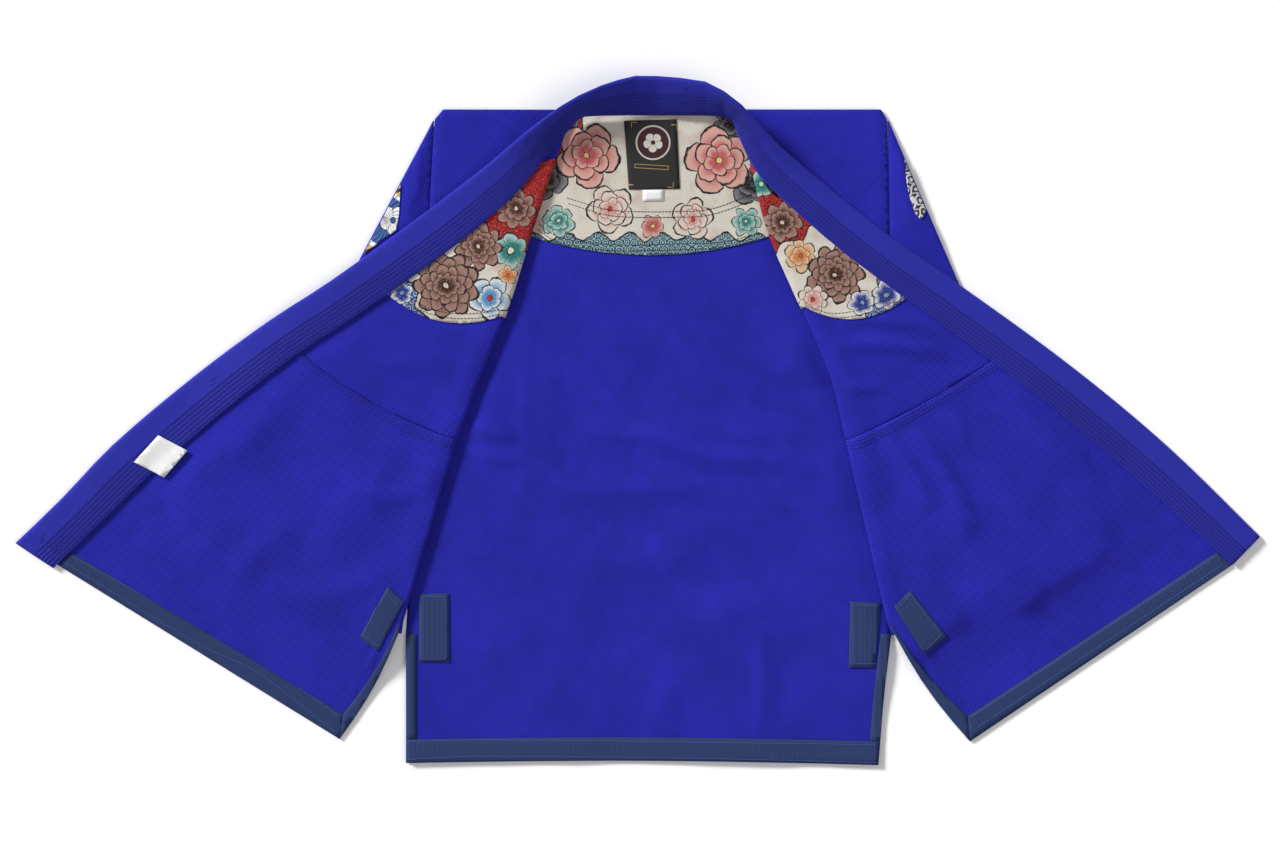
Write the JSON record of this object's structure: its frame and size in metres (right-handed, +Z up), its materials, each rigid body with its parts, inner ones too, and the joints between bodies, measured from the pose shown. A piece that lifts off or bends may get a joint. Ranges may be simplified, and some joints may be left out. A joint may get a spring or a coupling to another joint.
{
  "type": "jiu-jitsu gi jacket",
  "caption": "Thick woven cotton jiu-jitsu jacket with a stitched lapel band, laid flat on its back with both fronts turned out over the sleeves",
  "frame": {"origin": "The middle of the laid-out jacket in plan, on the surface that it lies on", "axes": "+X runs across the jacket from the left lapel's foot to the right one, +Y from the hem to the collar, and +Z up from the surface"},
  "size_m": [1.536, 0.8483, 0.0454],
  "materials": {
    "pearl_weave": "matt blue pearl weave cotton",
    "band_twill": "blue twill band with rows of stitching",
    "printed_lining": "smooth printed lining",
    "navy_tape": "navy twill tape",
    "black_label": "woven black label",
    "white_label": "white satin label",
    "gold_thread": "gold, blue and white embroidery",
    "grey_thread": "grey, white and black embroidery"
  },
  "bodies": {
    "root": {"back": "pearl_weave", "front_left": "pearl_weave", "front_right": "pearl_weave", "skirt_left": "pearl_weave", "skirt_right": "pearl_weave", "sleeve_left": "pearl_weave", "sleeve_right": "pearl_weave", "lapel_band": "band_twill", "yoke_back": "printed_lining", "yoke_left": "printed_lining", "yoke_right": "printed_lining", "hem_tape_back": "navy_tape", "hem_tape_left": "navy_tape", "hem_tape_right": "navy_tape", "slit_tape_back_left": "navy_tape", "slit_tape_back_right": "navy_tape", "slit_tape_front_left": "navy_tape", "slit_tape_front_right": "navy_tape", "slit_patch_back_left": "navy_tape", "slit_patch_back_right": "navy_tape", "slit_patch_front_left": "navy_tape", "slit_patch_front_right": "navy_tape", "label": "black_label", "size_tab": "white_label", "care_label": "white_label", "badge_left": "gold_thread", "badge_right": "grey_thread"}
  },
  "joints": []
}
